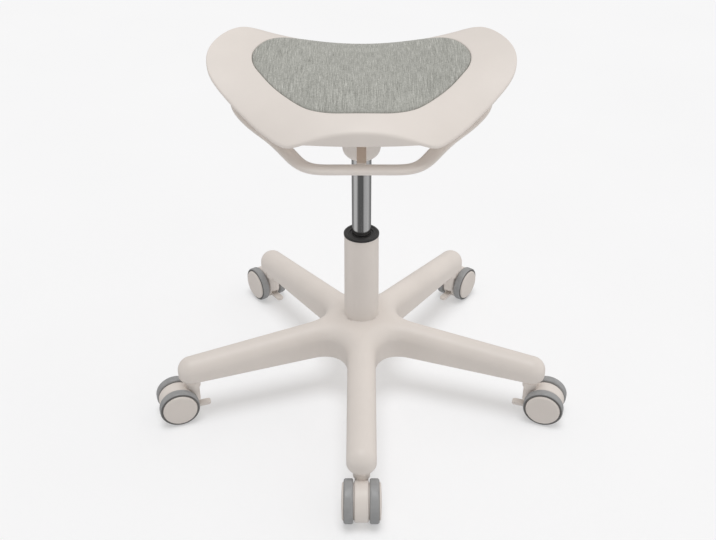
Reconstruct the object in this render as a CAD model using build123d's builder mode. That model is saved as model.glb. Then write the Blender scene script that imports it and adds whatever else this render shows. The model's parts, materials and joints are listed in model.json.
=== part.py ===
from build123d import *
import math
import os

os.makedirs("parts", exist_ok=True)

# ---------------------------------------------------------------- dimensions
# Frame: origin on the floor under the column, +Z up, the front of the seat
# faces -Y. All lengths in millimetres.

# five-arm base
leg_count = 5
first_leg = -90.0          # azimuth of the leg that points forward
leg_half = 21.3            # half width of a leg, produced to the column
leg_taper = 0.00333        # its loss per unit of radius
leg_crown = 111.5          # height where the round top starts, at the column
leg_crown_fall = 0.1022    # fall of that line per unit of radius
leg_foot = 75.6            # height of the underside, at the column
leg_foot_fall = 0.019
leg_corner = 4.0           # rounding of the lower edges
leg_start = 20.0
leg_end = 269.0            # middle of a leg's rounded end
caster_r = 270.0           # radius of the swivel axes
hub_foot = 74.8            # underside of the star at the hub
hub_top = 122.0
hub_arm_half = 20.0        # half width of the star's arms
hub_arm_end = 90.0         # outer end of the star's arms
hub_crotch = 37.0          # plan radius between two arms
hub_edge = 17.0            # rounding of the star's upper edges
hub_flare = 7.0            # fillet between hub and column
hub_flare_z = 126.0
socket_r = 5.56            # bore for a caster stem
socket_top = 87.0
socket_boss_r = 11.4
socket_face_z = 64.2       # flat under the leg where the caster turns

# gas lift
column_top = 272.0
column_top_r = 25.3
column_neck_z = 118.0      # where the visible tube enters the hub
column_neck_r = 26.5
column_foot_z = 60.0
column_foot_r = 25.0
column_bore_r = 23.0
column_floor = 66.0        # top of the closed bottom
bush_flange_r = 26.1
bush_flange_h = 3.5
bush_depth = 72.0
cylinder_r = 14.0
cylinder_foot = 203.0
cylinder_taper_z = 404.5   # foot of the taper in the housing
cylinder_top = 440.0
cylinder_top_r = 13.2
cylinder_bore_r = 11.5
rod_r = 5.0
rod_neck_r = 4.0
run = 0.05                 # radial clearance of running fits

# mechanism housing and ring lever
housing_foot = 397.2
housing_top = 457.0
pivot_y = -22.0
pivot_z = 449.0
pivot_r = 3.0
ring_half_w = 11.0
ring_half_h = 5.5
arm_half_w = 6.2

# seat
seat_bottom = 460.0        # flat of the underside
rim_t = 12.0               # thickness of the shell
apron_foot = 468.0         # lower edge of the front face
skirt = 5.0                # wall of the rim around the underside
pad_depth = 8.0            # recess for pad and board
board_t = 2.0
pan_t = 3.0

# casters
wheel_r = 30.0
trail = 25.0               # axle behind the swivel axis
tread_in = 11.2            # tread, distance from the caster's middle plane
tread_out = 23.6
tread_bed_r = 26.0
cap_out = 27.2             # crown of the domed outer face
cap_r = 25.6
fender_r = 28.0
fender_half = 9.8
cheek_r = 24.5             # raised cheeks that close the gap to the wheels
cheek_half = 11.1
stem_boss_r = 9.4
axle_r = 4.0

leg_azimuths = [first_leg + 360.0 / leg_count * k for k in range(leg_count)]
axle_x = caster_r + trail


# ------------------------------------------------------------ curve helpers
def cubic(ts, vs):
    """Natural cubic through (ts, vs), straight beyond both ends."""
    n = len(ts)
    h = [ts[i + 1] - ts[i] for i in range(n - 1)]
    lower, diag, upper, rhs = [0.0] * n, [1.0] * n, [0.0] * n, [0.0] * n
    for i in range(1, n - 1):
        lower[i] = h[i - 1]
        diag[i] = 2.0 * (h[i - 1] + h[i])
        upper[i] = h[i]
        rhs[i] = 6.0 * ((vs[i + 1] - vs[i]) / h[i] - (vs[i] - vs[i - 1]) / h[i - 1])
    for i in range(1, n):
        w = lower[i] / diag[i - 1]
        diag[i] -= w * upper[i - 1]
        rhs[i] -= w * rhs[i - 1]
    m = [0.0] * n
    for i in range(n - 2, 0, -1):
        m[i] = (rhs[i] - upper[i] * m[i + 1]) / diag[i]

    def slope(i, t):
        a, b = ts[i + 1] - t, t - ts[i]
        return ((vs[i + 1] - vs[i]) / h[i] - m[i] * (a * a / (2 * h[i]) - h[i] / 6.0)
                + m[i + 1] * (b * b / (2 * h[i]) - h[i] / 6.0))

    def value(t):
        if t <= ts[0]:
            return vs[0] + slope(0, ts[0]) * (t - ts[0])
        if t >= ts[-1]:
            return vs[-1] + slope(n - 2, ts[-1]) * (t - ts[-1])
        i = 0
        while t > ts[i + 1]:
            i += 1
        a, b = ts[i + 1] - t, t - ts[i]
        return (m[i] * a ** 3 / (6 * h[i]) + m[i + 1] * b ** 3 / (6 * h[i])
                + (vs[i] / h[i] - m[i] * h[i] / 6.0) * a
                + (vs[i + 1] / h[i] - m[i + 1] * h[i] / 6.0) * b)

    return value


def closed(left_half):
    """Whole outline from its left half, front middle to rear middle."""
    right = [(-x, y) for x, y in left_half[1:-1]]
    return list(left_half) + right[::-1]


def inset(points, d):
    """Closed outline moved inwards by d along its normals."""
    out = []
    n = len(points)
    for i in range(n):
        (x0, y0), (x1, y1) = points[i - 1], points[(i + 1) % n]
        tx, ty = x1 - x0, y1 - y0
        length = math.hypot(tx, ty)
        nx, ny = ty / length, -tx / length
        px, py = points[i]
        if nx * (px - 0.0) + ny * (py - 15.0) > 0.0:
            nx, ny = -nx, -ny
        out.append((px + d * nx, py + d * ny))
    return out


# ------------------------------------------------------------- seat surfaces
spine = cubic([-135, -118, -88, -40, 10, 60, 100, 120, 140, 156],
              [478, 487.5, 502, 514, 520, 522.5, 520.6, 516.5, 507.5, 496.5])
bow = cubic([-135, -115, -60, -20, 25, 70, 110, 150],
            [-0.0030, -0.0024, -0.0011, -0.00035, 0.00018, 0.0006, 0.00093, 0.00112])

seat_left = [(0, -118.3), (-45, -118.3), (-80, -117.7), (-95.5, -114.1),
             (-108.7, -105), (-122.1, -92.6), (-135.8, -78.6), (-149.8, -62.7),
             (-164, -46.7), (-178.4, -30.2), (-191.5, -14.3), (-202.2, 2.5),
             (-207.8, 20.9), (-207.8, 40.8), (-199.9, 62.8), (-188.5, 82.6),
             (-176.8, 100.4), (-163, 117.5), (-145, 131), (-120, 141),
             (-85, 147.5), (-45, 150), (0, 150.5)]
pad_left = [(0, -88.7), (-27, -87.4), (-45, -84), (-65, -75.6), (-78, -66),
            (-92, -52), (-106, -36.5), (-120, -19), (-134.5, 3), (-144, 20),
            (-148, 38), (-146.5, 53), (-140, 70), (-129, 89), (-116, 103.5),
            (-100, 115), (-80, 122.5), (-55, 126.6), (-28, 128.2), (0, 128.5)]
seat_outline = closed(seat_left)
pad_outline = closed(pad_left)
seat_centre_y = 15.0


def top(x, y):
    """Height of the saddle."""
    return spine(y) + bow(y) * x * x


def surface(height, shift=0.0):
    """Smooth face over the whole seat at height(x, y) + shift."""
    xs = [-225.0 + 22.5 * i for i in range(21)]
    ys = [-146.0 + 16.0 * j for j in range(21)]
    return Face.make_surface_from_array_of_points(
        [[(x, y, height(x, y) + shift) for y in ys] for x in xs], tol=0.02)


top_face = surface(top)
core_face = surface(top, -rim_t)
board_face = surface(top, -pad_depth)
pad_floor_face = surface(top, -pad_depth + board_t)
pad_top_face = surface(top, 0.6)
pan_lid_face = surface(top, -rim_t - 0.3)

# ---------------------------------------------------------------- star base
def leg_wire(r):
    """Half width, height of the crown line and height of the underside of a leg."""
    return leg_half - leg_taper * r, leg_crown - leg_crown_fall * r, leg_foot - leg_foot_fall * r


# one leg along +X: round top, straight sides, rounded end
with BuildPart() as leg:
    for r in (leg_start, leg_end):
        a, zc, zf = leg_wire(r)
        with BuildSketch(Plane.YZ.offset(r)):
            with BuildLine():
                q1 = ThreePointArc((a, zc), (0, zc + a), (-a, zc))
                q2 = Line(q1 @ 1, (-a, zf + leg_corner))
                q3 = RadiusArc(q2 @ 1, (-a + leg_corner, zf), -leg_corner)
                q4 = Line(q3 @ 1, (a - leg_corner, zf))
                q5 = RadiusArc(q4 @ 1, (a, zf + leg_corner), -leg_corner)
                q6 = Line(q5 @ 1, q1 @ 0)
            make_face()
    loft(ruled=True)
    a, zc, zf = leg_wire(leg_end)
    with BuildSketch(Plane.YZ.offset(leg_end)):
        with BuildLine():
            e1 = ThreePointArc((0, zc + a), (a * math.sin(math.pi / 4), zc + a * math.cos(math.pi / 4)), (a, zc))
            e2 = Line(e1 @ 1, (a, zf + leg_corner))
            e3 = RadiusArc(e2 @ 1, (a - leg_corner, zf), leg_corner)
            e4 = Line(e3 @ 1, (0, zf))
            e5 = Line(e4 @ 1, e1 @ 0)
        make_face()
    revolve(axis=Axis((leg_end, 0, 0), (0, 0, -1)), revolution_arc=180)

with BuildPart() as star_base:
    # soft star at the hub
    with BuildSketch(Plane.XY.offset(hub_foot)) as star:
        Circle(hub_arm_half + 8)
        with PolarLocations(hub_arm_end / 2, leg_count, start_angle=first_leg):
            SlotOverall(hub_arm_end + 2 * hub_arm_half, 2 * hub_arm_half)
        corner = hub_arm_half / math.sin(math.radians(180.0 / leg_count))
        fillet([v for v in star.vertices()
                if abs(math.hypot(v.X, v.Y) - corner) < 0.5], hub_crotch)
    extrude(amount=hub_top - hub_foot)
    fillet(star_base.faces().filter_by(Axis.Z).sort_by(Axis.Z)[-1].edges(), hub_edge)
    # concave flare up to the column
    with BuildSketch(Plane.XZ) as flare:
        with BuildLine():
            r_top = column_neck_r + 0.1
            l1 = Line((0, hub_top - 20), (r_top + hub_flare, hub_top - 20))
            l2 = Line(l1 @ 1, (r_top + hub_flare, hub_flare_z))
            l3 = RadiusArc(l2 @ 1, (r_top, hub_flare_z + hub_flare), hub_flare)
            l4 = Line(l3 @ 1, (0, hub_flare_z + hub_flare))
            l5 = Line(l4 @ 1, l1 @ 0)
        make_face()
    revolve(axis=Axis.Z)
    for azimuth in leg_azimuths:
        with Locations(Location((0, 0, 0), (0, 0, azimuth))):
            add(leg.part)
    # bosses, sockets and ribbed underside
    with PolarLocations(caster_r, leg_count, start_angle=first_leg):
        with Locations((0, 0, socket_face_z)):
            Cylinder(socket_boss_r, 16, align=(Align.CENTER, Align.CENTER, Align.MIN))
            Cylinder(40, 30, align=(Align.CENTER, Align.CENTER, Align.MAX), mode=Mode.SUBTRACT)
        with Locations((0, 0, socket_face_z - 1)):
            Cylinder(socket_r, socket_top - socket_face_z + 1,
                     align=(Align.CENTER, Align.CENTER, Align.MIN), mode=Mode.SUBTRACT)
    for step in range(4):
        with PolarLocations(112.0 + 37.0 * step, leg_count, start_angle=first_leg):
            with Locations((0, 0, 107.0 - 3.7 * step)):
                Box(33, 29, 60, align=(Align.CENTER, Align.CENTER, Align.MAX), mode=Mode.SUBTRACT)
    # tapered seat of the column
    with BuildSketch(Plane.XZ):
        with BuildLine():
            Polyline((0, column_foot_z - 5), (column_foot_r, column_foot_z - 5),
                     (column_foot_r, column_foot_z), (column_neck_r, column_neck_z),
                     (column_neck_r, 140), (0, 140), (0, column_foot_z - 5))
        make_face()
    revolve(axis=Axis.Z, mode=Mode.SUBTRACT)
star_base.part.label = "star_base"
export_step(star_base.part, "parts/star_base.step")

# ----------------------------------------------------------------- gas lift
with BuildPart() as column_tube:
    with BuildSketch(Plane.XZ):
        with BuildLine():
            Polyline((rod_neck_r + run, column_foot_z), (column_foot_r - 1.5, column_foot_z),
                     (column_foot_r, column_foot_z + 1.5), (column_neck_r, column_neck_z),
                     (column_neck_r - 0.03, column_neck_z + 2),
                     (column_top_r, column_top), (column_bore_r, column_top),
                     (column_bore_r, column_floor), (rod_neck_r + run, column_floor),
                     (rod_neck_r + run, column_foot_z))
        make_face()
    revolve(axis=Axis.Z)
column_tube.part.label = "column_tube"
export_step(column_tube.part, "parts/column_tube.step")

with BuildPart() as guide_bush:
    with BuildSketch(Plane.XZ):
        with BuildLine():
            b = cylinder_r + run
            t = column_top
            Polyline((b, t - bush_depth), (column_bore_r - 2, t - bush_depth),
                     (column_bore_r, t - bush_depth + 4), (column_bore_r, t),
                     (bush_flange_r, t), (bush_flange_r, t + bush_flange_h - 1.2),
                     (bush_flange_r - 1.2, t + bush_flange_h),
                     (b + 8.0, t + bush_flange_h), (b + 7.2, t + bush_flange_h - 1.0),
                     (b + 3.8, t + bush_flange_h - 1.0), (b + 3.2, t + bush_flange_h - 2.6),
                     (b + 0.6, t + bush_flange_h - 2.6), (b, t + bush_flange_h - 3.2),
                     (b, t - bush_depth))
        make_face()
    revolve(axis=Axis.Z)
guide_bush.part.label = "guide_bush"
export_step(guide_bush.part, "parts/guide_bush.step")

race_z = column_floor
with BuildPart() as thrust_race:
    with BuildSketch(Plane.XY.offset(race_z)):
        Circle(11.0)
        Circle(rod_neck_r + 0.4, mode=Mode.SUBTRACT)
    extrude(amount=1.5)
    chamfer(thrust_race.edges().filter_by(GeomType.CIRCLE).group_by(SortBy.RADIUS)[-1], 0.3)
thrust_race.part.label = "thrust_race"
export_step(thrust_race.part, "parts/thrust_race.step")

ball_r = 1.5
ball_ring = 7.6
ball_z = race_z + 1.5 + 0.05 + ball_r
with BuildPart() as cage:
    with BuildSketch(Plane.XY.offset(ball_z - 0.6)):
        Circle(10.4)
        Circle(4.6, mode=Mode.SUBTRACT)
        with PolarLocations(ball_ring, 9):
            Circle(ball_r + 0.1, mode=Mode.SUBTRACT)
    extrude(amount=1.2)
with BuildPart() as balls:
    with PolarLocations(ball_ring, 9):
        with Locations((0, 0, ball_z)):
            Sphere(ball_r)
upper_z = ball_z + ball_r + 0.02
with BuildPart() as upper_race:
    with BuildSketch(Plane.XY.offset(upper_z)):
        Circle(11.0)
        Circle(rod_neck_r + 0.02, mode=Mode.SUBTRACT)
    extrude(amount=1.5)
ball_cage = Compound(children=[cage.part.solid(), upper_race.part.solid()] + list(balls.part.solids()))
ball_cage.label = "ball_cage"
export_step(ball_cage, "parts/ball_cage.step")

shoulder_z = upper_z + 1.5
piston_z = cylinder_foot + 9.0 + 0.5
with BuildPart() as piston_rod:
    with BuildSketch(Plane.XZ):
        with BuildLine():
            Polyline((0, 55.4), (rod_neck_r - 0.6, 55.4), (rod_neck_r, 56), (rod_neck_r, 58.2),
                     (rod_neck_r - 0.7, 58.2), (rod_neck_r - 0.7, 59.6), (rod_neck_r, 59.6),
                     (rod_neck_r, shoulder_z), (rod_r, shoulder_z), (rod_r, piston_z),
                     (cylinder_bore_r - run, piston_z), (cylinder_bore_r - run, piston_z + 3.5),
                     (cylinder_bore_r - 1.2, piston_z + 4), (cylinder_bore_r - 1.2, piston_z + 6.5),
                     (cylinder_bore_r - run, piston_z + 7), (cylinder_bore_r - run, piston_z + 10),
                     (0, piston_z + 10), (0, 55.4))
        make_face()
    revolve(axis=Axis.Z)
piston_rod.part.label = "piston_rod"
export_step(piston_rod.part, "parts/piston_rod.step")

with BuildPart() as rod_clip:
    with BuildSketch(Plane.XY.offset(58.3)):
        Circle(7.5)
        Circle(rod_neck_r - 0.7, mode=Mode.SUBTRACT)
        with Locations((0, -5)):
            Rectangle(2.6, 8, mode=Mode.SUBTRACT)
    extrude(amount=1.2)
rod_clip.part.label = "rod_clip"
export_step(rod_clip.part, "parts/rod_clip.step")

stop_top = 87.5
with BuildPart() as bump_stop:
    with BuildSketch(Plane.XZ):
        with BuildLine():
            Polyline((rod_r, shoulder_z), (11.0, shoulder_z), (11.0, shoulder_z + 4),
                     (9.4, shoulder_z + 6), (11.0, shoulder_z + 8), (10.0, stop_top),
                     (rod_r, stop_top), (rod_r, shoulder_z))
        make_face()
    revolve(axis=Axis.Z)
bump_stop.part.label = "bump_stop"
export_step(bump_stop.part, "parts/bump_stop.step")

valve_r = 4.0
with BuildPart() as gas_cylinder:
    with BuildSketch(Plane.XZ):
        with BuildLine():
            Polyline((rod_r + run, cylinder_foot), (cylinder_r - 1.0, cylinder_foot),
                     (cylinder_r, cylinder_foot + 1.0), (cylinder_r, cylinder_taper_z),
                     (cylinder_top_r, cylinder_top - 1), (cylinder_top_r - 1, cylinder_top),
                     (valve_r + run, cylinder_top), (valve_r + run, 420), (0, 420), (0, 392),
                     (cylinder_bore_r, 392), (cylinder_bore_r, cylinder_foot + 9),
                     (rod_r + run, cylinder_foot + 9), (rod_r + run, cylinder_foot))
        make_face()
    revolve(axis=Axis.Z)
gas_cylinder.part.label = "gas_cylinder"
export_step(gas_cylinder.part, "parts/gas_cylinder.step")

button_top = 446.0
with BuildPart() as release_button:
    with BuildSketch(Plane.XY.offset(426)):
        Circle(valve_r)
    extrude(amount=button_top - 426)
    fillet(release_button.edges().group_by(Axis.Z)[-1], 1.6)
release_button.part.label = "release_button"
export_step(release_button.part, "parts/release_button.step")

# ------------------------------------------------- mechanism housing and lever
with BuildPart() as mechanism_housing:
    with BuildSketch(Plane.XZ):
        with BuildLine():
            h1 = Polyline((cylinder_r + 0.04, housing_foot), (15.2, housing_foot))
            h2 = Spline(h1 @ 1, (18.4, 398.9), (22.6, 402.6), (25.7, 408.0), (26.9, 414.0), (29.0, 426),
                        (32.4, 438), (36.5, housing_top - 3), tangents=[(1, 0.25), (0.25, 1)])
            h3 = Polyline(h2 @ 1, (37.5, housing_top - 2), (37.5, housing_top), (31, housing_top),
                          (29, 445), (20, 441), (cylinder_top_r + 0.04, 441),
                          (cylinder_top_r + 0.04, cylinder_top - 1),
                          (cylinder_r + 0.04, cylinder_taper_z), h1 @ 0)
        make_face()
    revolve(axis=Axis.Z)
    # slot for the lever's arm, bore for its pin
    with Locations((0, -34, 437)):
        Box(17, 28, 30, align=(Align.CENTER, Align.CENTER, Align.MIN), mode=Mode.SUBTRACT)
    with Locations((0, pivot_y + 2, 441)):
        Box(21, 20, 30, align=(Align.CENTER, Align.CENTER, Align.MIN), mode=Mode.SUBTRACT)
    with Locations(Location((0, pivot_y, pivot_z), (0, 90, 0))):
        Cylinder(pivot_r, 58, mode=Mode.SUBTRACT)
mechanism_housing.part.label = "mechanism_housing"
export_step(mechanism_housing.part, "parts/mechanism_housing.step")

with BuildPart() as lever_pin:
    with Locations(Location((0, pivot_y, pivot_z), (0, 90, 0))):
        Cylinder(pivot_r, 52)
    chamfer(lever_pin.edges().filter_by(GeomType.CIRCLE), 0.5)
lever_pin.part.label = "lever_pin"
export_step(lever_pin.part, "parts/lever_pin.step")

# middle line of the ring, left half from front to rear
ring_line = [(0, -105, 430), (-24, -105, 430), (-46, -105, 430), (-60, -104.2, 430.6),
             (-72, -101.2, 432.4), (-82, -95.6, 436), (-90, -88, 440.2), (-101, -75.2, 445.6),
             (-112.9, -61.3, 450.2), (-127, -44.9, 453.4), (-141.9, -27.6, 456.6),
             (-150, -18.3, 459.6), (-157.2, -9.6, 463.2), (-163, 0, 466.8), (-167, 11, 469.8),
             (-169.5, 28, 472.2), (-168.5, 50, 473.2), (-162.5, 70, 473.2), (-150.5, 88, 471.8),
             (-131, 103, 469), (-104, 114, 465.5), (-70, 121, 462.6), (-35, 124.2, 461),
             (0, 125, 460.5)]
ring_len = [0.0]
for p, q in zip(ring_line[:-1], ring_line[1:]):
    ring_len.append(ring_len[-1] + math.dist(p, q))
ring_xyz = [cubic(ring_len, [p[k] for p in ring_line]) for k in range(3)]
ring_cuts = 36
with BuildPart() as half_ring:
    for i in range(ring_cuts + 1):
        s = ring_len[-1] * i / ring_cuts
        p = tuple(f(s) for f in ring_xyz)
        if i in (0, ring_cuts):
            along = Vector(-1, 0, 0) if i == 0 else Vector(1, 0, 0)
            p = ring_line[0] if i == 0 else ring_line[-1]
        else:
            along = Vector(*[f(s + 1) - f(s - 1) for f in ring_xyz]).normalized()
        side = Vector(0, 0, 1).cross(along)
        with BuildSketch(Plane(origin=p, x_dir=side, z_dir=along)):
            Ellipse(ring_half_w, ring_half_h)
    loft()
with BuildPart() as ring_lever:
    add(half_ring.part)
    mirror(about=Plane.YZ)
    # arm from the front bar up to the pivot, and its nose over the button
    with BuildSketch(Plane.YZ) as arm_side:
        with BuildLine():
            Polyline((-106, 426.4), (-98, 426.4), (-40, 440.2), (-26, 443.6), (-15, 446.6),
                     (6, 446.6), (6, 452), (-20, 453.6), (-40, 449.2), (-98, 433.8),
                     (-106, 433.8), (-106, 426.4))
        make_face()
    extrude(amount=arm_half_w, both=True)
    with Locations(Location((0, pivot_y, pivot_z), (0, 90, 0))):
        Cylinder(6.2, 18)
        Cylinder(pivot_r + run, 30, mode=Mode.SUBTRACT)
ring_lever.part.label = "ring_lever"
export_step(ring_lever.part, "parts/ring_lever.step")

# ---------------------------------------------------------------------- seat
plate_t = seat_bottom - housing_top
plate_holes = [(-52, -36), (52, -36), (-52, 46), (52, 46)]
pan_holes = [(-84, -10), (84, -10), (-84, 42), (84, 42)]
with BuildPart() as seat_plate:
    with BuildSketch(Plane.XY.offset(housing_top)):
        with Locations((0, 5)):
            RectangleRounded(134, 112, 14)
        Circle(18, mode=Mode.SUBTRACT)
        with Locations(*plate_holes):
            Circle(3.2, mode=Mode.SUBTRACT)
    extrude(amount=plate_t)
seat_plate.part.label = "seat_plate"
export_step(seat_plate.part, "parts/seat_plate.step")

with BuildPart() as plate_screws:
    with Locations(*[(x, y, housing_top) for x, y in plate_holes]):
        Cylinder(5.2, 3.2, align=(Align.CENTER, Align.CENTER, Align.MAX))
        Cylinder(3.0, 17, align=(Align.CENTER, Align.CENTER, Align.MIN))
    with Locations(*[(x, y, housing_top - 3.2) for x, y in plate_holes]):
        Cylinder(2.0, 1.6, align=(Align.CENTER, Align.CENTER, Align.MIN), mode=Mode.SUBTRACT)
    fillet(plate_screws.edges().filter_by(lambda e: e.geom_type == GeomType.CIRCLE
                                          and abs(e.radius - 5.2) < 0.01
                                          and e.center().Z < housing_top - 1), 1.4)
plate_screws.part.label = "plate_screws"
export_step(plate_screws.part, "parts/plate_screws.step")

with BuildPart() as above_top:
    extrude(to_extrude=top_face, amount=160, dir=(0, 0, 1))
with BuildPart() as above_lid:
    extrude(to_extrude=pan_lid_face, amount=160, dir=(0, 0, 1))
with BuildPart() as below_board:
    extrude(to_extrude=board_face, amount=160, dir=(0, 0, -1))
with BuildPart() as below_pad:
    extrude(to_extrude=pad_floor_face, amount=160, dir=(0, 0, -1))
with BuildPart() as above_pad:
    extrude(to_extrude=pad_top_face, amount=160, dir=(0, 0, 1))

# space under the shell, without the apron that closes its front edge
with BuildPart() as apron:
    with Locations((0, -97, apron_foot)):
        Box(320, 60, 60, align=(Align.CENTER, Align.MAX, Align.MIN))
    with BuildSketch(Plane.XY.offset(430)):
        with BuildLine():
            Spline(*inset(seat_outline, skirt), periodic=True)
        make_face()
    extrude(amount=140, mode=Mode.SUBTRACT)
with BuildPart() as below_core:
    extrude(to_extrude=core_face, amount=160, dir=(0, 0, -1))
    add(apron.part, mode=Mode.SUBTRACT)
# recess for the pad
with BuildPart() as recess:
    with BuildSketch(Plane.XY.offset(430)):
        with BuildLine():
            Spline(*pad_outline, periodic=True)
        make_face()
    extrude(amount=140)
    add(below_board.part, mode=Mode.SUBTRACT)

with BuildPart() as seat_shell:
    with BuildSketch(Plane.XY.offset(430)):
        with BuildLine():
            Spline(*seat_outline, periodic=True)
        make_face()
    extrude(amount=140)
    add(above_top.part, mode=Mode.SUBTRACT)
    add(below_core.part, mode=Mode.SUBTRACT)
    add(recess.part, mode=Mode.SUBTRACT)
    # posts for the pan's screws
    for x, y in pan_holes:
        with Locations((x, y, seat_bottom + pan_t + 2.4)):
            Cylinder(6, top(x, y) - rim_t + 2 - seat_bottom - pan_t - 2.4,
                     align=(Align.CENTER, Align.CENTER, Align.MIN))
            Cylinder(2.0, 22, align=(Align.CENTER, Align.CENTER, Align.MIN), mode=Mode.SUBTRACT)
seat_shell.part.label = "seat_shell"
export_step(seat_shell.part, "parts/seat_shell.step")

# bowl under the shell: flat in the middle, rising to the rim
pan_levels = [(0.0, 0.46), (9.0, 0.66), (28.0, 0.82), (56.0, 0.893), (84.0, 0.94)]
with BuildPart() as pan_hollow:
    for rise, k in pan_levels:
        with BuildSketch(Plane.XY.offset(seat_bottom + 0.2 + pan_t + rise)):
            with BuildLine():
                Spline(*[(x * (k - 0.008), 10 + (y - 10) * (k - 0.008)) for x, y in seat_outline],
                       periodic=True)
            make_face()
    loft()
with BuildPart() as seat_pan:
    for rise, k in pan_levels:
        with BuildSketch(Plane.XY.offset(seat_bottom + 0.2 + rise)):
            with BuildLine():
                Spline(*[(x * k, 10 + (y - 10) * k) for x, y in seat_outline], periodic=True)
            make_face()
    loft()
    add(pan_hollow.part, mode=Mode.SUBTRACT)
    add(above_lid.part, mode=Mode.SUBTRACT)
    # bosses over the plate
    with Locations(*[(x, y, seat_bottom) for x, y in plate_holes]):
        Cylinder(7.5, 16, align=(Align.CENTER, Align.CENTER, Align.MIN))
        Cylinder(3.0, 14.5, align=(Align.CENTER, Align.CENTER, Align.MIN), mode=Mode.SUBTRACT)
    with Locations(*[(x, y, seat_bottom) for x, y in pan_holes]):
        Cylinder(2.2, pan_t + 4, align=(Align.CENTER, Align.CENTER, Align.MIN), mode=Mode.SUBTRACT)
seat_pan.part.label = "seat_pan"
export_step(seat_pan.part, "parts/seat_pan.step")

with BuildPart() as pan_screws:
    with Locations(*[(x, y, seat_bottom) for x, y in pan_holes]):
        Cylinder(4.4, 2.6, align=(Align.CENTER, Align.CENTER, Align.MAX))
        Cylinder(2.0, 18, align=(Align.CENTER, Align.CENTER, Align.MIN))
    with Locations(*[(x, y, seat_bottom - 2.6) for x, y in pan_holes]):
        Cylinder(1.6, 1.3, align=(Align.CENTER, Align.CENTER, Align.MIN), mode=Mode.SUBTRACT)
    fillet(pan_screws.edges().filter_by(lambda e: e.geom_type == GeomType.CIRCLE
                                        and abs(e.radius - 4.4) < 0.01
                                        and e.center().Z < seat_bottom - 1), 1.1)
pan_screws.part.label = "pan_screws"
export_step(pan_screws.part, "parts/pan_screws.step")

with BuildPart() as pad_board:
    with BuildSketch(Plane.XY.offset(430)):
        with BuildLine():
            Spline(*inset(pad_outline, 1.0), periodic=True)
        make_face()
    extrude(amount=140)
    add(below_board.part, mode=Mode.SUBTRACT)
    with BuildPart(mode=Mode.PRIVATE) as above_board:
        extrude(to_extrude=pad_floor_face, amount=160, dir=(0, 0, 1))
    add(above_board.part, mode=Mode.SUBTRACT)
pad_board.part.label = "pad_board"
export_step(pad_board.part, "parts/pad_board.step")

with BuildPart() as seat_pad:
    with BuildSketch(Plane.XY.offset(430)):
        with BuildLine():
            Spline(*inset(pad_outline, 0.5), periodic=True)
        make_face()
    extrude(amount=140)
    add(below_pad.part, mode=Mode.SUBTRACT)
    add(above_pad.part, mode=Mode.SUBTRACT)
seat_pad.part.label = "seat_pad"
export_step(seat_pad.part, "parts/seat_pad.step")

# ------------------------------------------------------------------- casters
# one caster, drawn on a leg that points along +X
with BuildPart() as caster_stem:
    with BuildSketch(Plane.XZ):
        with BuildLine():
            Polyline((caster_r, 38), (caster_r + 5.5, 38), (caster_r + 5.5, 79),
                     (caster_r + 4.8, 79.4), (caster_r + 4.8, 81), (caster_r + 5.5, 81.4),
                     (caster_r + 5.5, 84.4), (caster_r + 4.2, 86), (caster_r, 86), (caster_r, 38))
        make_face()
    revolve(axis=Axis((caster_r, 0, 0), (0, 0, 1)))

with BuildPart() as caster_housing:
    with Locations(Location((axle_x, 0, wheel_r), (90, 0, 0))):
        Cylinder(fender_r, 2 * fender_half)
    fillet(caster_housing.edges().filter_by(GeomType.CIRCLE), 2.4)
    with Locations(Location((axle_x, 0, wheel_r), (90, 0, 0))):
        Cylinder(cheek_r, 2 * cheek_half)
    with Locations((caster_r, 0, 27)):
        Cylinder(stem_boss_r, 33.6, align=(Align.CENTER, Align.CENTER, Align.MIN))
    with Locations((caster_r, 0, 54.0)):
        Cylinder(11.7, 9.8, align=(Align.CENTER, Align.CENTER, Align.MIN))
    with Locations((caster_r, 0, 38)):
        Cylinder(5.5, 40, align=(Align.CENTER, Align.CENTER, Align.MIN), mode=Mode.SUBTRACT)
    with Locations(Location((axle_x, 0, wheel_r), (90, 0, 0))):
        Cylinder(axle_r, 40, mode=Mode.SUBTRACT)
    # pocket and trunnion holes of the brake pedal
    with Locations((266, 0, 17)):
        Box(36, 12, 18, mode=Mode.SUBTRACT)
    with Locations(Location((276, 0, 16), (90, 0, 0))):
        Cylinder(2.06, 18.6, mode=Mode.SUBTRACT)

with BuildPart() as caster_axle:
    with Locations(Location((axle_x, 0, wheel_r), (90, 0, 0))):
        Cylinder(axle_r, 44)
    chamfer(caster_axle.edges().filter_by(GeomType.CIRCLE), 0.5)

with BuildPart() as wheel_right:
    with BuildSketch(Plane.YZ.offset(axle_x)):
        with BuildLine():
            z = wheel_r
            bore = axle_r + run
            t = tread_in + 0.2
            w1 = Polyline((t, z + bore), (22.6, z + bore), (22.6, z), (cap_out, z))
            w2 = ThreePointArc(w1 @ 1, (cap_out - 0.2, z + 11), (cap_out - 0.8, z + cap_r - 2.8))
            w3 = ThreePointArc(w2 @ 1, (cap_out - 1.5, z + cap_r - 0.9), (cap_out - 2.9, z + cap_r))
            w4 = Polyline(w3 @ 1, (tread_out, z + cap_r), (tread_out, z + tread_bed_r),
                          (t, z + tread_bed_r), w1 @ 0)
        make_face()
    revolve(axis=Axis((axle_x, 0, wheel_r), (0, 1, 0)))

with BuildPart() as tread_right:
    with BuildSketch(Plane.YZ.offset(axle_x)):
        with Locations(((tread_in + tread_out) / 2, wheel_r + (tread_bed_r + wheel_r) / 2)):
            Rectangle(tread_out - tread_in, wheel_r - tread_bed_r)
    revolve(axis=Axis((axle_x, 0, wheel_r), (0, 1, 0)))
    fillet(tread_right.edges().filter_by(GeomType.CIRCLE).group_by(SortBy.RADIUS)[-1], 2.4)

with BuildPart() as wheel_left:
    add(mirror(wheel_right.part, about=Plane.XZ, mode=Mode.PRIVATE))

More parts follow.
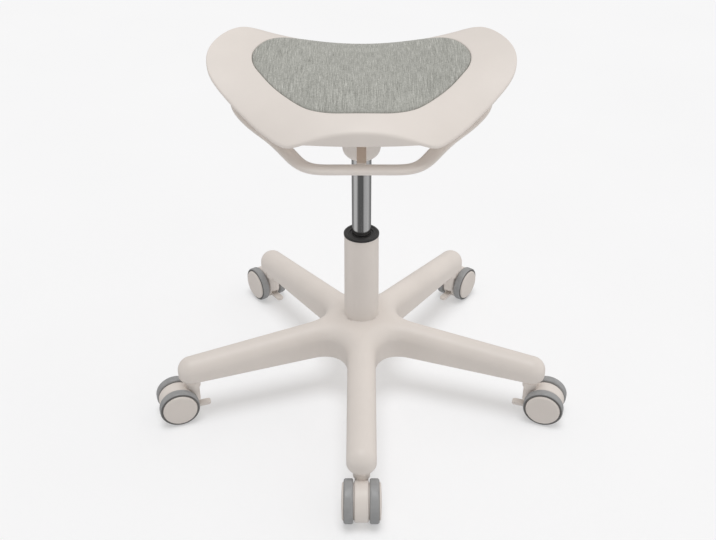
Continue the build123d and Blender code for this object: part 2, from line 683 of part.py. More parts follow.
with BuildPart() as tread_left:
    add(mirror(tread_right.part, about=Plane.XZ, mode=Mode.PRIVATE))

with BuildPart() as brake_pedal:
    with BuildSketch(Plane.XY.offset(14)):
        with Locations((261, 0)):
            Rectangle(30, 11)
    extrude(amount=4)
    fillet(brake_pedal.edges().filter_by(Axis.Z).group_by(Axis.X)[0], 4)
    with Locations(Location((276, 0, 16), (90, 0, 0))):
        Cylinder(4.6, 11)
        Cylinder(2.0, 18)

caster_pieces = [("stem", caster_stem), ("housing", caster_housing), ("axle", caster_axle),
                 ("wheel_left", wheel_left), ("tread_left", tread_left),
                 ("wheel_right", wheel_right), ("tread_right", tread_right),
                 ("brake_pedal", brake_pedal)]
for number, azimuth in enumerate(leg_azimuths, 1):
    for name, piece in caster_pieces:
        with BuildPart() as placed:
            with Locations(Location((0, 0, 0), (0, 0, azimuth))):
                add(piece.part)
        placed.part.label = f"caster_{number}_{name}"
        export_step(placed.part, f"parts/caster_{number}_{name}.step")
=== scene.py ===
import json
import math

import bmesh
import bpy
import numpy as np
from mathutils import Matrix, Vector


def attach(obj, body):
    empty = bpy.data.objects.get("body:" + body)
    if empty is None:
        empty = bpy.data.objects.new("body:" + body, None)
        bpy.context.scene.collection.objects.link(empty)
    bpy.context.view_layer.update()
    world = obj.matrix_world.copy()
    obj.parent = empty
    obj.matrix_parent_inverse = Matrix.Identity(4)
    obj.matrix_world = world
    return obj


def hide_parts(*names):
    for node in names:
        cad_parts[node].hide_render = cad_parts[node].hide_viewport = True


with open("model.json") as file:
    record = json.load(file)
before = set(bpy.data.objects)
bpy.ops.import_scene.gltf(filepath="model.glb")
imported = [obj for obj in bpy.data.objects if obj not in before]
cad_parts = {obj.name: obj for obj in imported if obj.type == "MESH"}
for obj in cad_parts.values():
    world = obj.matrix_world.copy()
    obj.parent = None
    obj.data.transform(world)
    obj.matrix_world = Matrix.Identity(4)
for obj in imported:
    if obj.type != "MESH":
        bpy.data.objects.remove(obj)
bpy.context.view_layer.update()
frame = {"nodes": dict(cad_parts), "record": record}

nodes = frame["nodes"]
scene = bpy.context.scene
MM = 0.001


# ------------------------------------------------------------------ helpers
def natural(ts, vs):
    """Natural cubic through (ts, vs), straight beyond both ends, on arrays."""
    ts, vs = np.array(ts, float), np.array(vs, float)
    n, h = len(ts), np.diff(ts)
    a, r = np.eye(n), np.zeros(n)
    for i in range(1, n - 1):
        a[i, i - 1:i + 2] = h[i - 1], 2 * (h[i - 1] + h[i]), h[i]
        r[i] = 6 * ((vs[i + 1] - vs[i]) / h[i] - (vs[i] - vs[i - 1]) / h[i - 1])
    m = np.linalg.solve(a, r)
    s0 = (vs[1] - vs[0]) / h[0] - m[1] * h[0] / 6
    s1 = (vs[-1] - vs[-2]) / h[-1] + m[-2] * h[-1] / 6

    def value(t):
        t = np.asarray(t, float)
        c = np.clip(t, ts[0], ts[-1])
        i = np.clip(np.searchsorted(ts, c) - 1, 0, n - 2)
        p, q, w = ts[i + 1] - c, c - ts[i], h[i]
        v = (m[i] * p ** 3 + m[i + 1] * q ** 3) / (6 * w) \
            + (vs[i] / w - m[i] * w / 6) * p + (vs[i + 1] / w - m[i + 1] * w / 6) * q
        return v + np.where(t < ts[0], s0 * (t - ts[0]), 0) + np.where(t > ts[-1], s1 * (t - ts[-1]), 0)

    return value


def closed_curve(points, count):
    """Points on a smooth closed curve through the given ones, dense and even in the curve's own parameter."""
    p = np.array(points, float)
    n = len(p)
    ext = np.vstack([p[-4:], p, p[:5]])
    t = np.concatenate([[0], np.cumsum(np.sqrt(np.linalg.norm(np.diff(ext, axis=0), axis=1)))])
    fx, fy = natural(t, ext[:, 0]), natural(t, ext[:, 1])
    s = np.linspace(t[4], t[4 + n], count, endpoint=False)
    return np.stack([fx(s), fy(s)], 1)


def whole(left):
    return list(left) + [(-x, y) for x, y in left[1:-1]][::-1]


def new_mesh(name, verts, faces, smooth=True):
    me = bpy.data.meshes.new(name)
    me.from_pydata([tuple(v) for v in verts], [], faces)
    me.update()
    bm = bmesh.new()
    bm.from_mesh(me)
    bmesh.ops.remove_doubles(bm, verts=bm.verts, dist=1e-6)
    bmesh.ops.recalc_face_normals(bm, faces=bm.faces)
    bm.to_mesh(me)
    bm.free()
    for poly in me.polygons:
        poly.use_smooth = smooth
    o = bpy.data.objects.new(name, me)
    scene.collection.objects.link(o)
    return o


def stacked(name, rows, first=None, last=None):
    """Closed surface from rings of equal length; first and last are end points."""
    n = len(rows[0])
    verts = [v for row in rows for v in row]
    faces = []
    for r in range(len(rows) - 1):
        for i in range(n):
            j = (i + 1) % n
            faces.append((r * n + i, r * n + j, (r + 1) * n + j, (r + 1) * n + i))
    if first is not None:
        verts.append(first)
        k = len(verts) - 1
        faces += [(k, (i + 1) % n, i) for i in range(n)]
    if last is not None:
        verts.append(last)
        k, b = len(verts) - 1, (len(rows) - 1) * n
        faces += [(k, b + i, b + (i + 1) % n) for i in range(n)]
    return new_mesh(name, verts, faces)


# ---------------------------------------------------------------- materials
class Nodes:
    def __init__(self, name):
        self.m = bpy.data.materials.new(name)
        self.m.use_nodes = True
        self.t = self.m.node_tree
        self.b = self.t.nodes["Principled BSDF"]
        self.co = self.t.nodes.new("ShaderNodeTexCoord").outputs["Object"]

    def link(self, a, b):
        self.t.links.new(a, b)

    def mapped(self, scale):
        n = self.t.nodes.new("ShaderNodeMapping")
        n.inputs["Scale"].default_value = scale
        self.link(self.co, n.inputs["Vector"])
        return n.outputs["Vector"]

    def noise(self, scale, detail=2.0, rough=0.5, vec=None):
        n = self.t.nodes.new("ShaderNodeTexNoise")
        n.inputs["Scale"].default_value = scale
        n.inputs["Detail"].default_value = detail
        n.inputs["Roughness"].default_value = rough
        self.link(vec if vec is not None else self.co, n.inputs["Vector"])
        return n.outputs["Fac"]

    def ramp(self, fac, stops):
        n = self.t.nodes.new("ShaderNodeValToRGB")
        els = n.color_ramp.elements
        while len(els) < len(stops):
            els.new(0.5)
        for e, (p, c) in zip(els, stops):
            e.position = p
            e.color = (*c, 1.0)
        self.link(fac, n.inputs["Fac"])
        return n.outputs["Color"]

    def span(self, fac, lo, hi, a=0.0, b=1.0):
        n = self.t.nodes.new("ShaderNodeMapRange")
        n.inputs["From Min"].default_value = a
        n.inputs["From Max"].default_value = b
        n.inputs["To Min"].default_value = lo
        n.inputs["To Max"].default_value = hi
        self.link(fac, n.inputs["Value"])
        return n.outputs["Result"]

    def math(self, op, a, b):
        n = self.t.nodes.new("ShaderNodeMath")
        n.operation = op
        for k, v in ((0, a), (1, b)):
            if isinstance(v, (int, float)):
                n.inputs[k].default_value = v
            else:
                self.link(v, n.inputs[k])
        return n.outputs[0]

    def mix(self, fac, a, b, mode="MIX"):
        n = self.t.nodes.new("ShaderNodeMix")
        n.data_type = "RGBA"
        n.blend_type = mode
        for k, v in ((0, fac), (6, a), (7, b)):
            if isinstance(v, (int, float)):
                n.inputs[k].default_value = v
            elif isinstance(v, tuple):
                n.inputs[k].default_value = (*v, 1.0)
            else:
                self.link(v, n.inputs[k])
        return n.outputs[2]

    def bump(self, height, strength, dist, normal=None):
        n = self.t.nodes.new("ShaderNodeBump")
        n.inputs["Strength"].default_value = strength
        n.inputs["Distance"].default_value = dist
        self.link(height, n.inputs["Height"])
        if normal is not None:
            self.link(normal, n.inputs["Normal"])
        return n.outputs["Normal"]


def srgb(r, g, b):
    f = lambda c: (c / 255 / 12.92) if c / 255 <= 0.04045 else ((c / 255 + 0.055) / 1.055) ** 2.4
    return (f(r), f(g), f(b))


def scaled(c, k):
    return tuple(min(1.0, x * k) for x in c)


def plastic(name, colour, rough, grain=0.00004, spec=0.45):
    k = Nodes(name)
    cloud = k.noise(14.0, 3.0, 0.55)
    k.link(k.ramp(cloud, [(0.25, scaled(colour, 0.965)), (0.75, scaled(colour, 1.02))]), k.b.inputs["Base Color"])
    fine = k.noise(1400.0, 2.0, 0.6)
    k.link(k.span(k.noise(60.0, 3.0), rough - 0.05, rough + 0.06), k.b.inputs["Roughness"])
    k.link(k.bump(fine, 0.18, grain), k.b.inputs["Normal"])
    k.b.inputs["Specular IOR Level"].default_value = spec
    return k.m


def metal(name, colour, rough, along=(1, 1, 0.04)):
    k = Nodes(name)
    lines = k.noise(700.0, 2.0, 0.6, k.mapped(along))
    k.link(k.ramp(lines, [(0.3, scaled(colour, 0.93)), (0.7, scaled(colour, 1.05))]), k.b.inputs["Base Color"])
    k.link(k.span(lines, rough - 0.04, rough + 0.06), k.b.inputs["Roughness"])
    k.link(k.bump(lines, 0.08, 0.00003), k.b.inputs["Normal"])
    k.b.inputs["Metallic"].default_value = 1.0
    return k.m


BEIGE = srgb(226, 219, 213)
body_mat = plastic("moulded_warm_white", BEIGE, 0.46)
paint_mat = plastic("powder_coat_warm_white", BEIGE, 0.42, 0.00006)
cap_mat = plastic("moulded_beige", scaled(BEIGE, 0.95), 0.42)
# lever: beige coat all over, with painted shade on the central arm under the seat's front edge (a darker brown-grey
# mixed in by position)
k = Nodes("coated_lever")
where = k.t.nodes.new("ShaderNodeSeparateXYZ")
k.link(k.co, where.inputs[0])
arm = k.span(where.outputs[1], 0.0, 1.0, -0.0965, -0.0935)
# painted shade for the arm under the seat: a darker, browner beige
arm_painted_shade = k.ramp(k.noise(40.0, 3.0), [(0.3, srgb(196, 180, 166)), (0.7, srgb(203, 187, 173))])
coat = k.ramp(k.noise(14.0, 3.0, 0.55), [(0.25, scaled(BEIGE, 0.955)), (0.75, scaled(BEIGE, 1.01))])
narrow = k.span(k.math("ABSOLUTE", where.outputs[0], 0.0), 1.0, 0.0, 0.0068, 0.0074)
k.link(k.mix(k.math("MULTIPLY", arm, narrow), coat, arm_painted_shade), k.b.inputs["Base Color"])
k.link(k.span(k.noise(60.0, 3.0), 0.37, 0.48), k.b.inputs["Roughness"])
k.link(k.bump(k.noise(1400.0, 2.0, 0.6), 0.18, 0.00004), k.b.inputs["Normal"])
k.b.inputs["Specular IOR Level"].default_value = 0.45
lever_mat = k.m
housing_mat = plastic("coated_casting", scaled(BEIGE, 0.9), 0.5, 0.00008)
black_mat = plastic("black_moulding", (0.022, 0.022, 0.023), 0.38)
board_mat = plastic("dark_board", (0.05, 0.05, 0.05), 0.6)
plate_mat = plastic("black_coat", (0.03, 0.03, 0.03), 0.5)
rubber_mat = plastic("black_buffer", (0.02, 0.02, 0.02), 0.75, 0.0001, 0.3)
steel_mat = metal("zinc_steel", (0.58, 0.58, 0.57), 0.3)
tube_mat = metal("chromed_tube", (0.62, 0.61, 0.60), 0.13, (1, 1, 0.02))

def rubber(name, dark, light, rough):
    k = Nodes(name)
    k.link(k.ramp(k.noise(90.0, 4.0, 0.6), [(0.3, dark), (0.7, light)]), k.b.inputs["Base Color"])
    k.link(k.span(k.noise(500.0, 3.0), rough - 0.06, rough + 0.08), k.b.inputs["Roughness"])
    k.link(k.bump(k.noise(1100.0, 3.0, 0.6), 0.2, 0.00006), k.b.inputs["Normal"])
    k.b.inputs["Specular IOR Level"].default_value = 0.5
    return k.m


tread_mat = rubber("grey_tread", srgb(148, 149, 150), srgb(160, 161, 162), 0.42)
# darker rubber for the ring round each cap: painted shade of the groove between cap and tread
shade_wall_mat = rubber("tread_shade_wall", srgb(98, 97, 96), srgb(110, 109, 108), 0.55)

# heathered weave: long fine streaks from front to back over a small plain weave
k = Nodes("heather_fabric")
streak = k.noise(1.0, 2.0, 0.6, k.mapped((1400, 46, 46)))
slub = k.noise(1.0, 2.0, 0.6, k.mapped((1500, 330, 330)))
cross = k.noise(1.0, 2.0, 0.6, k.mapped((190, 900, 900)))
both = k.math("ADD", k.math("MULTIPLY", streak, 0.48),
              k.math("ADD", k.math("MULTIPLY", slub, 0.36), k.math("MULTIPLY", cross, 0.16)))
colour = k.ramp(both, [(0.34, srgb(120, 121, 115)), (0.50, srgb(168, 169, 163)), (0.66, srgb(210, 211, 205))])
cloud = k.ramp(k.noise(9.0, 2.0), [(0.3, (0.94, 0.94, 0.94)), (0.7, (1.0, 1.0, 1.0))])
k.link(k.mix(1.0, colour, cloud, "MULTIPLY"), k.b.inputs["Base Color"])
weft = k.t.nodes.new("ShaderNodeTexWave")
weft.bands_direction = "X"
weft.inputs["Scale"].default_value = 260.0
weft.inputs["Distortion"].default_value = 1.2
weft.inputs["Detail"].default_value = 1.0
k.link(k.co, weft.inputs["Vector"])
warp = k.t.nodes.new("ShaderNodeTexWave")
warp.bands_direction = "Y"
warp.inputs["Scale"].default_value = 260.0
warp.inputs["Distortion"].default_value = 1.2
warp.inputs["Detail"].default_value = 1.0
k.link(k.co, warp.inputs["Vector"])
weave = k.math("ADD", weft.outputs["Fac"], warp.outputs["Fac"])
k.link(k.bump(weave, 0.35, 0.00025, k.bump(both, 0.4, 0.0003)), k.b.inputs["Normal"])
k.link(k.span(streak, 0.82, 0.95), k.b.inputs["Roughness"])
k.b.inputs["Specular IOR Level"].default_value = 0.2
k.b.inputs["Sheen Weight"].default_value = 0.15
k.b.inputs["Sheen Roughness"].default_value = 0.5
fabric_mat = k.m

slot_mats = {"body_plastic": body_mat, "body_paint": paint_mat, "housing_metal": housing_mat,
             "cap_plastic": cap_mat, "tread_rubber": tread_mat, "black_plastic": black_mat,
             "black_rubber": rubber_mat, "bright_tube": tube_mat, "steel": steel_mat,
             "plate_metal": plate_mat, "board_plastic": board_mat, "pad_fabric": fabric_mat}
for sub in frame["record"]["subparts"]:
    me = nodes[sub["node"]].data
    me.materials.clear()
    me.materials.append(lever_mat if sub["node"] == "ring_lever" else slot_mats[sub["material_slot"]])

# ------------------------------------------------------------------- seat
spine = natural([-135, -118, -88, -40, 10, 60, 100, 120, 140, 156],
                [478, 487.5, 502, 514, 520, 522.5, 520.6, 516.5, 507.5, 496.5])
bow = natural([-135, -115, -60, -20, 25, 70, 110, 150],
              [-0.0030, -0.0024, -0.0011, -0.00035, 0.00018, 0.0006, 0.00093, 0.00112])
seat_left = [(0, -118.3), (-45, -118.3), (-80, -117.7), (-95.5, -114.1),
             (-108.7, -105), (-122.1, -92.6), (-135.8, -78.6), (-149.8, -62.7),
             (-164, -46.7), (-178.4, -30.2), (-191.5, -14.3), (-202.2, 2.5),
             (-207.8, 20.9), (-207.8, 40.8), (-199.9, 62.8), (-188.5, 82.6),
             (-176.8, 100.4), (-163, 117.5), (-145, 131), (-120, 141),
             (-85, 147.5), (-45, 150), (0, 150.5)]
pad_left = [(0, -88.7), (-27, -87.4), (-45, -84), (-65, -75.6), (-78, -66),
            (-92, -52), (-106, -36.5), (-120, -19), (-134.5, 3), (-144, 20),
            (-148, 38), (-146.5, 53), (-140, 70), (-129, 89), (-116, 103.5),
            (-100, 115), (-80, 122.5), (-55, 126.6), (-28, 128.2), (0, 128.5)]
CENTRE = np.array([0.0, 15.0])
EDGE_T = 4.0
RAYS = 360


def top(xy):
    return spine(xy[:, 1]) + bow(xy[:, 1]) * xy[:, 0] ** 2


def around(points):
    """The outline as seen from the seat's middle, one point for each of RAYS directions."""
    p = closed_curve(points, 4000) - CENTRE
    a = np.arctan2(p[:, 1], p[:, 0])
    order = np.argsort(a)
    a, r = a[order], np.hypot(p[:, 0], p[:, 1])[order]
    a = np.concatenate([a[-20:] - 2 * math.pi, a, a[:20] + 2 * math.pi])
    r = np.concatenate([r[-20:], r, r[:20]])
    t = np.linspace(-math.pi, math.pi, RAYS, endpoint=False)
    r = np.interp(t, a, r)
    return CENTRE + np.stack([np.cos(t) * r, np.sin(t) * r], 1)


def outward(p):
    d = np.roll(p, -1, 0) - np.roll(p, 1, 0)
    n = np.stack([d[:, 1], -d[:, 0]], 1)
    return n / np.linalg.norm(n, axis=1)[:, None]


seat_xy, pad_xy = around(whole(seat_left)), around(whole(pad_left))
seat_n, pad_n = outward(seat_xy), outward(pad_xy)


def at(xy, z):
    return np.column_stack([xy, np.broadcast_to(z, (len(xy),))]) * MM


def shell_rows():
    rows = []
    for f in (0.3, 0.6, 0.9, 1.0):
        p = CENTRE + (pad_xy - CENTRE) * f
        rows.append(at(p, top(p) - 8.05))
    for out, low in ((0.0, 2.4), (0.12, 1.3), (0.5, 0.55), (1.1, 0.14), (2.0, 0.0)):
        p = pad_xy + pad_n * out
        rows.append(at(p, top(p) - low))
    z_rim = top(seat_xy)
    # the front edge is closed by a low face; elsewhere the edge is thin
    face = 467.9 + 0.00043 * seat_xy[:, 0] ** 2
    low = np.where(seat_xy[:, 1] < -95, np.minimum(z_rim - EDGE_T, face), z_rim - EDGE_T)
    w = np.clip((z_rim - EDGE_T - low) / 6.0, 0, 1)
    r_up, r_low = 2.0 + 1.8 * w, 1.5 + 0.3 * w
    inner, outer = pad_xy + pad_n * 2.0, seat_xy - seat_n * r_up[:, None]
    for f in np.linspace(0, 1, 17)[1:]:
        p = inner + (outer - inner) * f
        rows.append(at(p, top(p)))
    a_z, c_z = top(outer), z_rim
    for t in np.linspace(0, 1, 7)[1:]:
        xy = outer * (1 - t) ** 2 + seat_xy * (1 - (1 - t) ** 2)
        z = a_z * (1 - t) ** 2 + c_z * 2 * t * (1 - t) + (c_z - r_up) * t * t
        rows.append(at(xy, z))
    mid_z = 0.5 * ((c_z - r_up) + (low + r_low))
    rows.append(at(seat_xy, mid_z))
    under = seat_xy - seat_n * r_low[:, None]
    for t in np.linspace(0, 1, 6):
        xy = seat_xy * (1 - t * t) + under * t * t
        z = (low + r_low) * (1 - t) ** 2 + low * (1 - (1 - t) ** 2)
        rows.append(at(xy, z))
    p = seat_xy - seat_n * (2.2 + 2.8 * w)[:, None]
    rows.append(at(p, low))
    back = np.clip((seat_xy[:, 1] + 10.0) / 40.0, 0, 1)
    q = seat_xy - seat_n * (14.0 - 6.0 * back - 8.0 * w)[:, None]
    for f in (0.5, 1.0):
        m = p + (q - p) * f
        rows.append(at(m, low + (top(q) - 12.0 - low) * f))
    for f in (0.86, 0.7, 0.5, 0.3, 0.15):
        p = CENTRE + (seat_xy - CENTRE) * f
        rows.append(at(p, top(p) - 12.0))
    return rows


mid = np.array([CENTRE])
shell = stacked("seat_shell_skin", shell_rows(), at(mid, top(mid) - 8.05)[0], at(mid, top(mid) - 12.0)[0])
shell.data.materials.append(body_mat)
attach(shell, "seat")
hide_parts("seat_shell")

# upholstered pad: crowned top that turns down into the recess
def pad_rows():
    rows, pin = [], []
    for f in np.concatenate([np.linspace(0.04, 0.92, 23), [0.945, 0.965]]):
        p = CENTRE + (pad_xy - CENTRE) * f
        rows.append(at(p, top(p) + 0.9))
        pin.append(0.0)
    for inset, dz, w in ((2.4, 0.75, 0.3), (1.4, 0.35, 0.8), (0.7, -0.4, 1.0), (0.35, -1.6, 1.0), (0.35, -5.6, 1.0)):
        p = pad_xy - pad_n * inset
        rows.append(at(p, top(p) + dz))
        pin.append(w)
    for f in (0.9, 0.7, 0.5, 0.3, 0.1):
        p = CENTRE + (pad_xy - CENTRE) * f
        rows.append(at(p, top(p) - 5.7))
        pin.append(1.0)
    return rows, pin


rows, pin = pad_rows()
pad = stacked("seat_pad_cover", rows, at(mid, top(mid) + 0.9)[0], at(mid, top(mid) - 5.7)[0])
pad.data.materials.append(fabric_mat)


def inflate(o, held, cap):
    """Cloth under light inner pressure, held where the pad is fixed, with its travel capped."""
    start = np.array([v.co for v in o.data.vertices])
    g = o.vertex_groups.new(name="held")
    for i, w in enumerate(held):
        if w > 0:
            g.add([i], float(w), "REPLACE")
    c = o.modifiers.new("cloth", "CLOTH")
    s = c.settings
    s.quality = 6
    s.mass = 0.25
    s.tension_stiffness = s.compression_stiffness = 30
    s.shear_stiffness = 15
    s.bending_stiffness = 2.0
    s.use_pressure = True
    s.uniform_pressure_force = 3.0
    s.vertex_group_mass = "held"
    s.effector_weights.gravity = 0
    c.collision_settings.use_collision = False
    c.point_cache.frame_start, c.point_cache.frame_end = 1, 16
    for f in range(1, 17):
        scene.frame_set(f)
    dg = bpy.context.evaluated_depsgraph_get()
    e = o.evaluated_get(dg)
    end = np.array([v.co for v in e.data.vertices])
    o.modifiers.remove(c)
    o.vertex_groups.remove(g)
    scene.frame_set(1)
    move = end - start
    length = np.linalg.norm(move, axis=1)
    move *= (cap * np.tanh(length / cap) / np.maximum(length, 1e-9))[:, None]
    for v, p in zip(o.data.vertices, start + move):
        v.co = p
    o.data.update()


n = RAYS
held = np.zeros(len(pad.data.vertices))
co = np.array([v.co for v in pad.data.vertices]) / MM
drop = co[:, 2] - top(co[:, :2])
held[drop < 0.6] = 1.0
held[(drop >= 0.6) & (drop < 0.88)] = 0.4
inflate(pad, held, 1.6 * MM)
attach(pad, "seat")
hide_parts("seat_pad")

# ------------------------------------------------------------------- base
LEGS = [math.radians(-90 + 72 * i) for i in range(5)]


def joined(d1, d2, r):
    """Union of two distances with a fillet of about radius r between them."""
    u, v = np.maximum(r - d1, 0), np.maximum(r - d2, 0)
    return np.maximum(r, np.minimum(d1, d2)) - np.hypot(u, v)


def base_field(p):
    """Signed distance, in mm, of the moulded star base at the points p."""
    x, y, z = p[:, 0], p[:, 1], p[:, 2]
    r = np.hypot(x, y)
    rc = np.minimum(r, 269.0)
    half = 21.3 - 0.00333 * rc
    crown, foot = 111.5 - 0.1022 * rc, 75.6 - 0.019 * rc
    legs, boss, holes = [], np.full(len(p), 1e3), np.full(len(p), 1e3)
    for a in LEGS:
        along, side = x * math.cos(a) + y * math.sin(a), y * math.cos(a) - x * math.sin(a)
        past = np.maximum(along - 269.0, 0) + np.minimum(along, 0)
        legs.append(np.hypot(side, past) - half)
        pin = np.hypot(along - 270.0, side)
        boss = np.minimum(boss, np.maximum(pin - 11.4, np.maximum(64.2 - z, z - 80.0)))
        holes = np.minimum(holes, np.maximum(pin - 6.0, z - 87.4))
        for i in range(4):
            u, v = np.abs(along - 112.0 - 37.0 * i) - 14.5, np.abs(side) - 12.5
            w = z - (105.0 - 3.7 * i)
            o = np.sqrt(np.maximum(u, 0) ** 2 + np.maximum(v, 0) ** 2 + np.maximum(w, 0) ** 2)
            holes = np.minimum(holes, o + np.minimum(np.maximum(np.maximum(u, v), w), 0) - 2.0)
    legs = np.sort(np.array(legs), axis=0)
    plan = joined(legs[0], legs[1], HUB_CROTCH)
    # round top, straight sides and a small rounding at the foot, all round the plan
    q = np.maximum(plan + half, 0)
    upper = np.hypot(q, z - crown) - half
    u, v = q - half + 4.0, foot + 4.0 - z
    lower = np.hypot(np.maximum(u, 0), np.maximum(v, 0)) + np.minimum(np.maximum(u, v), 0) - 4.0
    d = np.where(z > crown, upper, lower)
    d = joined(d, boss, 2.0)
    column = np.maximum(r - 25.7, z - 137.0)
    d = np.where(r < 60, joined(d, np.maximum(column, 100.0 - z), 3.5), d)
    d = np.maximum(d, z - 137.0)
    return np.maximum(np.maximum(d, -holes), 24.4 - r)


HUB_CROTCH = 51.0


def net(field, low, high, step):
    """Quads through the zero level of a field on a regular grid, moved on to that level."""
    n = [int(math.ceil((h - l) / step)) + 1 for l, h in zip(low, high)]
    axes = [l + step * np.arange(k) for l, k in zip(low, n)]
    f = np.empty(n)
    for i, x in enumerate(axes[0]):
        yy, zz = np.meshgrid(axes[1], axes[2], indexing="ij")
        f[i] = field(np.stack([np.full(yy.size, x), yy.ravel(), zz.ravel()], 1)).reshape(yy.shape)
    inside = f < 0
    corners = [(i, j, k) for i in (0, 1) for j in (0, 1) for k in (0, 1)]
    cut = lambda a, c: a[c[0]:n[0] - 1 + c[0], c[1]:n[1] - 1 + c[1], c[2]:n[2] - 1 + c[2]]
    count = sum(cut(inside, c).astype(int) for c in corners)
    cells = np.argwhere((count > 0) & (count < 8))
    index = np.full([k - 1 for k in n], -1)
    index[tuple(cells.T)] = np.arange(len(cells))
    total, hits = np.zeros((len(cells), 3)), np.zeros(len(cells))
    for axis in range(3):
        for c in corners:
            if c[axis]:
                continue
            e = tuple(c[k] + (k == axis) for k in range(3))
            fa = f[tuple((cells + c).T)]
            fb = f[tuple((cells + e).T)]
            ok = (fa < 0) != (fb < 0)
            t = np.where(ok, fa / np.where(fa == fb, 1, fa - fb), 0)
            pt = np.array(c, float) + np.zeros((len(cells), 3))
            pt[:, axis] += t
            total[ok] += pt[ok]
            hits += ok
    verts = np.array(low) + step * (cells + total / hits[:, None])
    for _ in range(4):
        g = np.stack([field(verts + d) - field(verts - d) for d in 0.05 * np.eye(3)], 1) / 0.1
        move = (field(verts) / np.maximum((g ** 2).sum(1), 0.25))[:, None] * g
        verts -= np.clip(move, -0.4 * step, 0.4 * step)
    quads = []
    for axis in range(3):
        b, c = (axis + 1) % 3, (axis + 2) % 3
        lead = [slice(1, -1)] * 3
        lead[axis] = slice(0, n[axis] - 1)
        nxt = list(lead)
        nxt[axis] = slice(1, n[axis])
        at_ = np.argwhere(inside[tuple(lead)] != inside[tuple(nxt)]) + [0 if k == axis else 1 for k in range(3)]
        flip = inside[tuple(at_.T)]
        eb, ec = np.eye(3, dtype=int)[b], np.eye(3, dtype=int)[c]
        q = np.stack([index[tuple((at_ - s).T)] for s in (eb * 0, eb, eb + ec, ec)], 1)
        q[~flip] = q[~flip][:, ::-1]
        quads += q.tolist()
    return verts, quads


verts, quads = net(base_field, (-293, -293, 61), (293, 293, 140), 2.4)
base = new_mesh("star_base_skin", verts * MM, quads)
base.data.materials.append(body_mat)
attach(base, "base")
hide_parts("star_base")

# ------------------------------------------------------------ caster details
def tread_shade_wall(name, n, side):
    """Side wall of a tread, a thin ring between the cap and the tread's edge, in a darker rubber that paints the shade
    of the groove round the cap.
    """
    a = math.radians(-90 + 72 * (n - 1))
    axle = np.array([0.295 * math.cos(a), 0.295 * math.sin(a), 0.030])
    out = np.array([-math.sin(a), math.cos(a), 0.0]) * (1 if side == "right" else -1)
    ahead = np.array([math.cos(a), math.sin(a), 0.0])
    profile = [(25.75, 23.3), (25.75, 23.72), (26.1, 23.86), (28.0, 23.86), (28.7, 23.62), (28.7, 23.3)]
    rows = []
    for i in range(96):
        t = 2 * math.pi * i / 96
        r_dir = ahead * math.cos(t) + np.array([0, 0, 1.0]) * math.sin(t)
        rows.append([axle + (r_dir * r + out * w) * MM for r, w in profile])
    m = len(profile)
    verts = [v for row in rows for v in row]
    faces = [(i * m + j, i * m + (j + 1) % m, ((i + 1) % 96) * m + (j + 1) % m, ((i + 1) % 96) * m + j)
             for i in range(96) for j in range(m)]
    o = new_mesh(name, verts, faces)
    o.data.materials.append(shade_wall_mat)
    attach(o, f"caster_{n}_{side}")
    return o


# rings of painted shade on both sides of every wheel
shade_walls = [tread_shade_wall(f"caster_{n}_wall_{side}", n, side) for n in range(1, 6) for side in ("left", "right")]

# ------------------------------------------------------------------- stage
k = Nodes("studio_floor")
k.link(k.ramp(k.noise(3.0, 2.0), [(0.3, (0.638, 0.646, 0.659)), (0.7, (0.648, 0.656, 0.669))]), k.b.inputs["Base Color"])
k.link(k.span(k.noise(30.0, 2.0), 0.85, 0.95), k.b.inputs["Roughness"])
k.b.inputs["Specular IOR Level"].default_value = 0.0
k.b.inputs["Emission Color"].default_value = (1.0, 1.0, 1.0, 1.0)
k.b.inputs["Emission Strength"].default_value = 0.325
floor = new_mesh("studio_floor", [(-20, -20, 0), (20, -20, 0), (20, 20, 0), (-20, 20, 0)], [(0, 1, 2, 3)])
floor.data.materials.append(k.m)
floor.visible_glossy = False

world = bpy.data.worlds.new("studio")
scene.world = world
world.use_nodes = True
wt = world.node_tree
bg = wt.nodes["Background"]
bg.inputs["Strength"].default_value = 1.0


def sky(fac, stops, tint):
    n = wt.nodes.new("ShaderNodeValToRGB")
    els = n.color_ramp.elements
    while len(els) < len(stops):
        els.new(0.5)
    for e, (at_, v) in zip(els, stops):
        e.position = 0.5 + 0.5 * at_
        e.color = (v * tint[0], v * tint[1], v * tint[2], 1.0)
    m = wt.nodes.new("ShaderNodeMapRange")
    m.inputs["From Min"].default_value = -1.0
    wt.links.new(fac, m.inputs["Value"])
    wt.links.new(m.outputs["Result"], n.inputs["Fac"])
    return n.outputs["Color"]


def step(fac, a, b):
    m = wt.nodes.new("ShaderNodeMapRange")
    m.inputs["From Min"].default_value = a
    m.inputs["From Max"].default_value = b
    wt.links.new(fac, m.inputs["Value"])
    return m.outputs["Result"]


def between(fac, a, b):
    n = wt.nodes.new("ShaderNodeMix")
    n.data_type = "RGBA"
    for k_, v in ((0, fac), (6, a), (7, b)):
        wt.links.new(v, n.inputs[k_])
    return n.outputs[2]


WARM, PLAIN = (1.0, 0.965, 0.93), (0.985, 0.995, 1.01)
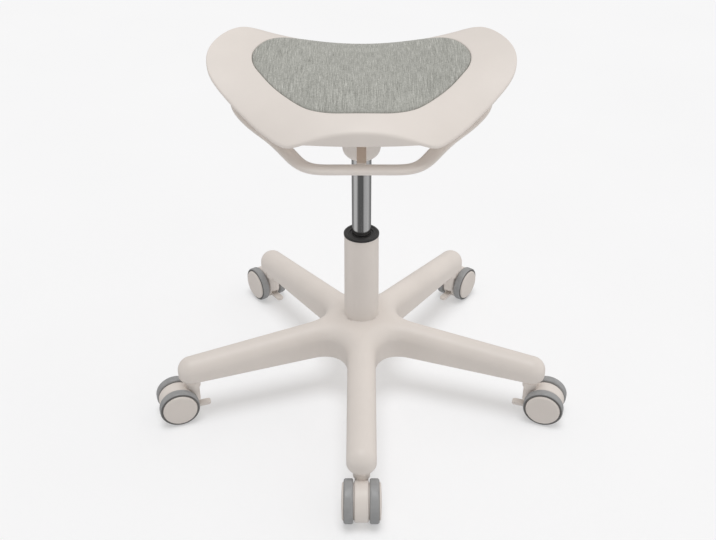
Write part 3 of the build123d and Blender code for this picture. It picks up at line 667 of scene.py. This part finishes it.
# soft boxes to both sides, the right one stronger, and a dim front; what lies below the horizon is only seen in gloss
ray = wt.nodes.new("ShaderNodeTexCoord").outputs["Generated"]
axes = wt.nodes.new("ShaderNodeSeparateXYZ")
wt.links.new(ray, axes.inputs[0])
ax, ay, az = (axes.outputs[i] for i in range(3))
upper = between(step(ay, -0.4, 0.4),
                sky(ax, [(-1.0, 0.62), (-0.5, 0.44), (0.0, 0.36), (0.5, 0.58), (1.0, 0.95)], WARM),
                sky(ax, [(-1.0, 0.60), (0.0, 0.55), (1.0, 0.95)], WARM))
lower = between(step(ay, 0.0, 0.35),
                sky(ax, [(-0.84, 0.72), (-0.70, 0.55), (-0.58, 0.15), (0.28, 0.13), (0.42, 0.48), (0.84, 0.62)], PLAIN),
                sky(ax, [(-0.8, 0.30), (0.0, 0.12), (0.8, 0.30)], PLAIN))
wt.links.new(between(step(az, -0.05, 0.05), lower, upper), bg.inputs["Color"])


def soft_sun(name, toward, strength, angle):
    d = bpy.data.lights.new(name, "SUN")
    d.energy = strength
    d.color = (0.985, 1.0, 1.02)
    d.angle = math.radians(angle)
    o = bpy.data.objects.new(name, d)
    o.rotation_euler = Vector(toward).to_track_quat("-Z", "Y").to_euler()
    scene.collection.objects.link(o)
    return o


def lit_by(light, receivers, passed=()):
    """The light reaches the receivers only, and goes past the objects in passed."""
    held = bpy.data.collections.new(light.name + "_lit")
    for o in receivers:
        held.objects.link(o)
    light.light_linking.receiver_collection = held
    if passed:
        held = bpy.data.collections.new(light.name + "_passed")
        for o in passed:
            held.objects.link(o)
        for link in held.collection_objects:
            link.light_linking.link_state = "EXCLUDE"
        light.light_linking.blocker_collection = held


# one overhead box for the seat, and one that lights the base and the floor from below the seat
owned = frame["record"]["behaviour"]["bodies"]
above = [shell, pad] + [nodes[n] for b in ("seat", "lever", "button", "rod") for n in owned[b]]
below = [base, floor] + [nodes[n] for n in owned["base"]]
wheels = shade_walls + [nodes[n] for b in owned if b.startswith("caster_") for n in owned[b]]
lit_by(soft_sun("key_seat", (0.0, 0.07, -1.0), 1.42, 40), above)
lit_by(soft_sun("key_base", (0.0, 0.07, -1.0), 1.17, 30), below, above)
lit_by(soft_sun("key_casters", (0.0, 0.07, -1.0), 0.42, 30), wheels, above)
lit_by(soft_sun("fill_casters", (0.0, 0.07, -1.0), 0.75, 30), wheels, above + [base])
lit_by(soft_sun("fill_lever", (0.0, 0.07, -1.0), 0.22, 30), [nodes["ring_lever"]], above)

cam = bpy.data.cameras.new("camera")
cam.sensor_width = 36.0
cam.lens = 46.23
cam.shift_x = -0.0049
cam_o = bpy.data.objects.new("camera", cam)
cam_o.location = (0.0, -1.15994, 0.96629)
cam_o.rotation_euler = (math.radians(56.84), 0.0, 0.0)
scene.collection.objects.link(cam_o)
scene.camera = cam_o
scene.view_settings.view_transform = "Standard"
